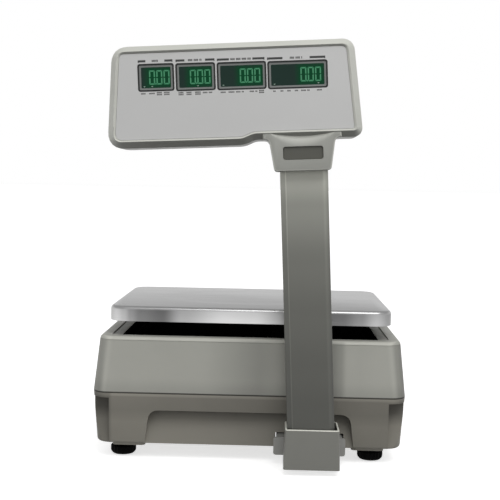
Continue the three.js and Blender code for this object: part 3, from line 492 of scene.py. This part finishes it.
def rounded_ring(x0, x1, y0, y1, r, steps=8):
    """Points round a rectangle with round corners, the same number whatever its size."""
    least = 0.001 * MM
    r = max(min(r, (x1 - x0) / 2 - least, (y1 - y0) / 2 - least), least)
    corners = ((x1 - r, y0 + r, -90), (x1 - r, y1 - r, 0), (x0 + r, y1 - r, 90), (x0 + r, y0 + r, 180))
    points = []
    for cx, cy, start in corners:
        for i in range(steps + 1):
            a = math.radians(start + 90 * i / steps)
            points.append((cx + r * math.cos(a), cy + r * math.sin(a)))
    return points


def circle_ring(r, count, centre):
    turns = [2 * math.pi * i / count for i in range(count)]
    return [(centre[0] + r * math.cos(a), centre[1] + r * math.sin(a)) for a in turns]


def loft(bm, rings, cap_first=True, cap_last=True, index=0):
    """Joins rings of 3-D points into a skin. Returns the faces."""
    rows = [[bm.verts.new(p) for p in ring] for ring in rings]
    faces = []
    for a, b in zip(rows, rows[1:]):
        n = len(a)
        for i in range(n):
            faces.append(bm.faces.new((a[i], a[(i + 1) % n], b[(i + 1) % n], b[i])))
    if cap_first:
        faces.append(bm.faces.new(rows[0][::-1]))
    if cap_last:
        faces.append(bm.faces.new(rows[-1]))
    for f in faces:
        f.material_index = index
    return faces


def flat(bm, outline, depth, index=0, plane="XZ"):
    """A thin printed shape: seen from -Y at that depth, or from +Z for plane XY."""
    if plane == "XZ":
        verts = [bm.verts.new((x, depth, z)) for x, z in outline]
        outward = Vector((0, -1, 0))
    else:
        verts = [bm.verts.new((x, y, depth)) for x, y in outline]
        outward = Vector((0, 0, 1))
    face = bm.faces.new(verts)
    face.normal_update()
    if face.normal.dot(outward) < 0:
        face.normal_flip()
    face.material_index = index


def bar(x0, x1, z0, z1):
    return [(x0, z0), (x1, z0), (x1, z1), (x0, z1)]


# ------------------------------------------------------------------ digits
LIT = {"0": "abcdef", "1": "bc", "2": "abged", "3": "abgcd", "4": "fgbc", "5": "afgcd", "6": "afgedc",
       "7": "abc", "8": "abcdefg", "9": "abfgcd"}


def digit_segments(character, width, height, stroke, gap):
    """Outlines of the lit bars of a seven-segment digit, its lower left corner at the origin."""
    middle, s = height / 2, stroke
    bars = {
        "a": [(gap, height), (width - gap, height), (width - s - gap, height - s), (s + gap, height - s)],
        "d": [(s + gap, s), (width - s - gap, s), (width - gap, 0), (gap, 0)],
        "f": [(0, height - gap), (s, height - s - gap), (s, middle + gap + s / 3), (0, middle + gap)],
        "e": [(0, middle - gap), (s, middle - gap - s / 3), (s, s + gap), (0, gap)],
        "g": [(s / 2, middle), (s, middle + s / 2), (width - s, middle + s / 2), (width - s / 2, middle),
              (width - s, middle - s / 2), (s, middle - s / 2)],
    }
    bars["b"] = [(width - x, z) for x, z in bars["f"]][::-1]
    bars["c"] = [(width - x, z) for x, z in bars["e"]][::-1]
    return [bars[name] for name in LIT[character]]


# ------------------------------------------------------------------ display head
# material indices of a window
FRAME, MARGIN, GLASS, DIGIT, MARK = range(5)
# a window's rings: inset and corner radius of the frame's outside, its inside, the lip and the glass
FRAME_OUT, FRAME_IN = (0, 2.4 * MM), (1.45 * MM, 1.6 * MM)
LIP, GLASS_EDGE = (1.65 * MM, 1.5 * MM), (3.7 * MM, 1.2 * MM)
LIP_DEPTH, GLASS_DEPTH, LIT_LIFT = 0.3 * MM, 0.8 * MM, 0.05 * MM
DIGIT_W, DIGIT_H, DIGIT_PITCH, STROKE, DIGIT_GAP = 6.9 * MM, 16.4 * MM, 8.4 * MM, 1.55 * MM, 0.35 * MM
DIGIT_LOW, MARK_LOW = 7.6 * MM, 4.7 * MM
DOT_W, DOT_H, DOT_GAP = 1.2 * MM, 1.6 * MM, 0.15 * MM
MARK_HALF, MARK_H = 1.2 * MM, 1.3 * MM
WINDOWS = {
    # digits' gap to the right edge, pointer marks from the left edge, both in mm
    "tare": (5.1, (7.2, 16.1)),
    "weight": (5.6, (25.2,)),
    "unit_price": (6.7, (6.9,)),
    "total": (7.4, (7.5, 58.0)),
}
WINDOW_NODES = {f"{side}_lcd_{name}" for side in ("customer", "operator") for name in WINDOWS}

PRINT_LIFT, PRINT_LEFT = 0.04 * MM, 0.3 * MM
# heights over a window: the bars' hooked ends, the bars, and the dashes between them
HOOK_LOW, BAR_LOW, BAR_HIGH, HOOK_W = 1.5 * MM, 2.0 * MM, 4.5 * MM, 1.1 * MM
TITLE_AT, TITLE_H = 3.3 * MM, 2.4 * MM
# depths below a window: a single row of dashes, the first of two rows, and between two rows
SINGLE_AT, FIRST_AT, ROW_PITCH, CAPTION_H = 2.6 * MM, 1.9 * MM, 2.2 * MM, 1.6 * MM
# dashes: their pitch and the share of it that is filled; rows longer than LONG_ROW skip every fifth dash
DASH_PITCH, DASH_FILL, LONG_ROW, WORD = 1.35 * MM, 0.74, 6, 5
BARS = {
    # start and end of the left bar and of the right one, width of the dashes between, all in mm
    "tare": ((0.8, 9.7, 31.6, 41.0), 7.4),
    "weight": ((0.6, 10.9, 34.7, 45.6), 16.0),
    "unit_price": ((0.6, 14.5, 41.5, 55.4), 23.7),
    "total": ((0.0, 17.7, 48.8, 66.8), 14.5),
}
CAPTIONS = {
    # centre from the left edge and width, both in mm, and number of lines
    "tare": ((6.1, 5.5, 1), (16.2, 6.5, 1), (24.7, 6, 2), (33.3, 6.5, 2)),
    "weight": ((5.9, 6, 2), (15.1, 6, 2), (25.4, 6.5, 2), (36.5, 11, 1)),
    "unit_price": ((6.9, 6, 1), (16.5, 7, 1), (26.3, 9, 1), (41.9, 9, 1), (51.1, 6, 2)),
    "total": ((7.6, 3, 1), (16.2, 3.5, 1), (24.3, 4, 1), (32.9, 4, 1), (43.2, 10, 1), (59.3, 6, 1)),
}


def display_window(side, name, matrix):
    """Black frame, grey sloping margin and dark glass with lit digits, in one window of the head."""
    node = f"{side}_lcd_{name}"
    low, high = local_box(node, matrix)
    right_gap, marks = WINDOWS[name]
    glass_y = low.y + GLASS_DEPTH
    lit_y = glass_y - LIT_LIFT
    bm = bmesh.new()

    def ring(shape, y):
        inset, radius = shape
        outline = rounded_ring(low.x + inset, high.x - inset, low.z + inset, high.z - inset, radius)
        return [(x, y, z) for x, z in outline]

    rings = [ring(FRAME_OUT, high.y), ring(FRAME_OUT, low.y), ring(FRAME_IN, low.y),
             ring(LIP, low.y + LIP_DEPTH), ring(GLASS_EDGE, glass_y)]
    faces = loft(bm, rings, index=FRAME)
    count = len(rings[0])
    for face in faces[3 * count:4 * count]:
        face.material_index = MARGIN
    faces[-1].material_index = GLASS
    bmesh.ops.recalc_face_normals(bm, faces=bm.faces)

    block = 2 * DIGIT_PITCH + DIGIT_W
    x0, z0 = high.x - right_gap * MM - block, low.z + DIGIT_LOW
    for i in range(3):
        x = x0 + i * DIGIT_PITCH
        for outline in digit_segments("0", DIGIT_W, DIGIT_H, STROKE, DIGIT_GAP):
            flat(bm, [(x + px, z0 + pz) for px, pz in outline], lit_y, DIGIT)
    dot = x0 + DIGIT_W + DOT_GAP
    flat(bm, bar(dot, dot + DOT_W, z0, z0 + DOT_H), lit_y, DIGIT)
    for mark in marks:
        x, z = low.x + mark * MM, low.z + MARK_LOW
        flat(bm, [(x - MARK_HALF, z + MARK_H), (x, z), (x + MARK_HALF, z + MARK_H)], lit_y, MARK)
    soften(bm)
    glass = lcd_glass(node + "_glass", (x0 + block / 2, z0 + DIGIT_H / 2), (block / 2, DIGIT_H / 2))
    materials = [INK["frame"], INK["margin"], glass, INK["digit"], INK["mark"]]
    stand_for(new_object(node + "_window", bm, materials, matrix), node)


def dashes(bm, x, width, z, height, depth):
    """A row of short plain dashes in place of words."""
    count = max(2, round(width / DASH_PITCH))
    step = width / count
    for i in range(count):
        if count > LONG_ROW and i % WORD == WORD - 1:
            continue
        flat(bm, bar(x + i * step, x + (i + DASH_FILL) * step, z - height / 2, z + height / 2), depth)


def panel_print(side, matrix):
    """Hooked bars over the windows and short dashes where captions would be."""
    depth = local_box(f"{side}_panel", matrix)[0].y - PRINT_LIFT
    bm = bmesh.new()
    for name in WINDOWS:
        low, high = local_box(f"{side}_lcd_{name}", matrix)
        (left, left_end, right, right_end), title = BARS[name]
        x = low.x - PRINT_LEFT
        for start, end, hook in ((left, left_end, left * MM), (right, right_end, right_end * MM - HOOK_W)):
            flat(bm, bar(x + start * MM, x + end * MM, high.z + BAR_LOW, high.z + BAR_HIGH), depth)
            flat(bm, bar(x + hook, x + hook + HOOK_W, high.z + HOOK_LOW, high.z + BAR_LOW), depth)
        middle = (left + left_end + right + right_end) / 4
        dashes(bm, x + (middle - title / 2) * MM, title * MM, high.z + TITLE_AT, TITLE_H, depth)
        for centre, width, lines in CAPTIONS[name]:
            for k in range(lines):
                z = low.z - (SINGLE_AT if lines == 1 else FIRST_AT + ROW_PITCH * k)
                dashes(bm, x + (centre - width / 2) * MM, width * MM, z, CAPTION_H, depth)
    add_on(new_object(f"{side}_panel_print", bm, INK["print"], matrix), "pole")


# ------------------------------------------------------------------ console
# material indices of the keys
PLAIN, GREY, GREEN, RED, PRINT = range(5)
KEY_COLUMNS, KEY_ROWS, KEY_MARGIN, KEY_GAP = 10, 5, 5 * MM, 1.1 * MM
KEY_BASE, KEY_RISE, KEY_RADIUS = 0.05 * MM, 0.5 * MM, 2.2 * MM
# a key's rings: inset, and height as a share of KEY_RISE
KEY_RINGS = ((0, 0), (0.15 * MM, 0.6), (0.7 * MM, 1), (1.6 * MM, 1.12))
KEY_TOP = KEY_BASE + KEY_RISE * KEY_RINGS[-1][1] + 0.02 * MM
NUMBER_W, NUMBER_H, NUMBER_STROKE, NUMBER_GAP = 4.2 * MM, 7.2 * MM, 1.1 * MM, 0.1 * MM
DASH_HALF_W, DASH_HALF_H = 3.2 * MM, 0.6 * MM
# by column and row, seen from the operator's side
NUMBER_KEYS = {(6, 1): "7", (7, 1): "8", (8, 1): "9", (6, 2): "4", (7, 2): "5", (8, 2): "6",
               (6, 3): "1", (7, 3): "2", (8, 3): "3", (6, 4): "0"}
PRESET_COLUMNS, LAST_COLUMN = 6, KEY_COLUMNS - 1
RED_KEY, GREEN_KEY = (LAST_COLUMN, 1), (LAST_COLUMN, 4)


def key_cap(bm, x0, x1, y0, y1, index):
    """A low cushion over one key of the membrane."""
    rings = []
    for inset, share in KEY_RINGS:
        outline = rounded_ring(x0 + inset, x1 - inset, y0 + inset, y1 - inset, KEY_RADIUS, 5)
        rings.append([(x, y, KEY_BASE + KEY_RISE * share) for x, y in outline])
    loft(bm, rings, cap_first=False, index=index)


def key_color(i, j):
    if (i, j) == RED_KEY:
        return RED
    if (i, j) == GREEN_KEY:
        return GREEN
    beside_numbers = i >= PRESET_COLUMNS and j > 0 and (i, j) not in NUMBER_KEYS
    return GREY if beside_numbers or i == LAST_COLUMN else PLAIN


def keypad():
    """Keys on the membrane: preset keys with a dash, numbers, and coloured keys."""
    bm = bmesh.new()
    pitch_x = (KEYPAD_WIDTH - 2 * KEY_MARGIN) / KEY_COLUMNS
    pitch_y = (KEYPAD_DEPTH - 2 * KEY_MARGIN) / KEY_ROWS
    for i in range(KEY_COLUMNS):
        for j in range(KEY_ROWS):
            # the operator looks along -Y, so columns run towards -X
            x0 = KEYPAD_WIDTH - KEY_MARGIN - (i + 1) * pitch_x
            y0 = KEY_MARGIN + j * pitch_y
            x1, y1 = x0 + pitch_x, y0 + pitch_y
            key_cap(bm, x0 + KEY_GAP, x1 - KEY_GAP, y0 + KEY_GAP, y1 - KEY_GAP, key_color(i, j))
            cx, cy = x0 + pitch_x / 2, y0 + pitch_y / 2
            if (i, j) in NUMBER_KEYS:
                number = NUMBER_KEYS[i, j]
                for outline in digit_segments(number, NUMBER_W, NUMBER_H, NUMBER_STROKE, NUMBER_GAP):
                    turned = [(cx + NUMBER_W / 2 - px, cy + NUMBER_H / 2 - pz) for px, pz in outline]
                    flat(bm, turned, KEY_TOP, PRINT, "XY")
            elif i < PRESET_COLUMNS:
                dash = bar(cx - DASH_HALF_W, cx + DASH_HALF_W, cy - DASH_HALF_H, cy + DASH_HALF_H)
                flat(bm, dash, KEY_TOP, PRINT, "XY")
    soften(bm)
    materials = [INK[name] for name in ("key", "key_grey", "key_green", "key_red", "print")]
    add_on(new_object("keypad_keys", bm, materials, CONSOLE), "base")


def bubble():
    """The level's black target ring, and its bubble a little off the middle."""
    low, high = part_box("bubble_level_vial")
    centre = (low + high) / 2

    def rings(shape, count, x):
        # shape lists radius and height over the vial, in mm
        return [[(px, py, high.z + rise * MM) for px, py in circle_ring(r * MM, count, (x, centre.y))]
                for r, rise in shape]

    bm = bmesh.new()
    loft(bm, rings(((3.3, 0.02), (3.3, 0.06), (2.8, 0.06), (2.8, 0.02)), 32, centre.x), False, False)
    soften(bm)
    add_on(new_object("bubble_target", bm, INK["frame"]), "base")
    bm = bmesh.new()
    dome = rings(((1.9, 0.01), (1.8, 0.12), (1.3, 0.24), (0.5, 0.3)), 24, centre.x + 0.5 * MM)
    loft(bm, dome, cap_first=False)
    soften(bm)
    add_on(new_object("bubble", bm, MATERIALS["vial_glass"]), "base")


def components(node, count, seed):
    """Small chips and capacitors on a circuit board that lies flat."""
    border, board, corner = 3 * MM, 1.6 * MM, 0.3 * MM
    rng = random.Random(seed)
    low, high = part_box(node)
    top = low.z + board
    bm = bmesh.new()
    for _ in range(count):
        w, d, h = rng.uniform(3, 14) * MM, rng.uniform(3, 10) * MM, rng.uniform(1, 2.4) * MM
        x = rng.uniform(low.x + border, high.x - border - w)
        y = rng.uniform(low.y + border, high.y - border - d)
        outline = rounded_ring(x, x + w, y, y + d, corner, 2)
        loft(bm, [[(px, py, z) for px, py in outline] for z in (top, top + h)], cap_first=False)
    soften(bm)
    add_on(new_object(node + "_components", bm, INK["frame"]), BODY_OF[node])


# ------------------------------------------------------------------ all the pieces
PLAIN_BEVEL = 0.6 * MM
BEVELS = {"platter": 0.3 * MM, "head_front_shell": 0.8 * MM, "head_rear_shell": 0.8 * MM,
          "upper_housing": 0.9 * MM, "lower_base": 0.8 * MM, "column": 0.5 * MM, "pole_bracket": 0.4 * MM,
          "pole_arm": 0.5 * MM, "customer_panel": 0.3 * MM, "operator_panel": 0.3 * MM,
          "power_rocker": 0.5 * MM}


def build():
    for name in frame["nodes"]:
        if name not in WINDOW_NODES:
            material = OWN_MATERIAL.get(name, MATERIALS[SLOT_OF[name]])
            refined(name, BEVELS.get(name, PLAIN_BEVEL), material)
    for side, matrix in (("customer", POLE), ("operator", OPERATOR)):
        for name in WINDOWS:
            display_window(side, name, matrix)
        panel_print(side, matrix)
    keypad()
    bubble()
    components("main_board", 26, 7)


# ------------------------------------------------------------------ stage
# the photograph's viewing angle: degrees of yaw, pitch and roll, and the lens in millimetres
YAW, PITCH, ROLL, LENS, SENSOR = 1.316, 3.837, 1.085, 69.43, 36
EYE = (0.0256, -1.34324, 0.3454)
# brightness against height: the darker room below, a white horizon, a soft overhead dome
SKY = ((0.0, 0.1), (0.47, 0.22), (0.497, 1.0), (0.6, 1.0), (0.72, 0.5), (1.0, 0.5))
FLOOR_HALF = 80
WHITE = (1, 1, 1)


def camera():
    yaw, pitch, roll = (math.radians(angle) for angle in (YAW, PITCH, ROLL))
    right = Vector((math.cos(yaw), math.sin(yaw), 0))
    forward = Vector((-math.sin(yaw) * math.cos(pitch), math.cos(yaw) * math.cos(pitch), -math.sin(pitch)))
    up = right.cross(forward)
    x = right * math.cos(roll) + up * math.sin(roll)
    y = -right * math.sin(roll) + up * math.cos(roll)
    turn = Matrix((x, y, -forward)).transposed().to_4x4()
    data = bpy.data.cameras.new("camera")
    data.lens = LENS
    data.sensor_width = SENSOR
    data.clip_end = 200
    ob = bpy.data.objects.new("camera", data)
    bpy.context.scene.collection.objects.link(ob)
    ob.matrix_world = Matrix.Translation(EYE) @ turn
    bpy.context.scene.camera = ob


def softbox(name, place, target, size, power):
    light = bpy.data.lights.new(name, "AREA")
    light.shape = "RECTANGLE"
    light.size, light.size_y = size
    light.energy = power
    ob = bpy.data.objects.new(name, light)
    bpy.context.scene.collection.objects.link(ob)
    ob.location = place
    ob.rotation_euler = (Vector(target) - Vector(place)).to_track_quat("-Z", "Y").to_euler()


def sky():
    """World light that depends on height alone."""
    world = bpy.data.worlds.new("studio")
    bpy.context.scene.world = world
    world.use_nodes = True
    tree = world.node_tree
    coordinates = tree.nodes.new("ShaderNodeTexCoord")
    axis = tree.nodes.new("ShaderNodeSeparateXYZ")
    rise = tree.nodes.new("ShaderNodeMapRange")
    rise.inputs["From Min"].default_value = -1
    ramp = tree.nodes.new("ShaderNodeValToRGB")
    while len(ramp.color_ramp.elements) < len(SKY):
        ramp.color_ramp.elements.new(0.5)
    for element, (position, value) in zip(ramp.color_ramp.elements, SKY):
        element.position = position
        element.color = (value, value, value, 1)
    tree.links.new(coordinates.outputs["Generated"], axis.inputs[0])
    tree.links.new(axis.outputs["Z"], rise.inputs["Value"])
    tree.links.new(rise.outputs["Result"], ramp.inputs["Fac"])
    tree.links.new(ramp.outputs["Color"], tree.nodes["Background"].inputs["Color"])


def studio():
    """Height-graded world light, a plain white floor and one soft key light."""
    bpy.context.scene.view_settings.view_transform = "Standard"
    sky()
    paper = Shader("floor_paper", (0.93, 0.93, 0.93), 0.9)
    paper.tint(paper.spread(paper.noise(3, 2), 0, 1), (0.92, 0.92, 0.92), (0.94, 0.94, 0.94))
    paper.glow(WHITE, 0.65)
    bm = bmesh.new()
    bmesh.ops.create_grid(bm, x_segments=1, y_segments=1, size=FLOOR_HALF)
    floor = new_object("floor", bm, paper)
    floor.visible_diffuse = False
    softbox("key", (0.35, -1.05, 1.45), (0.02, -0.15, 0.3), (1.1, 0.8), 9)


build()
camera()
studio()
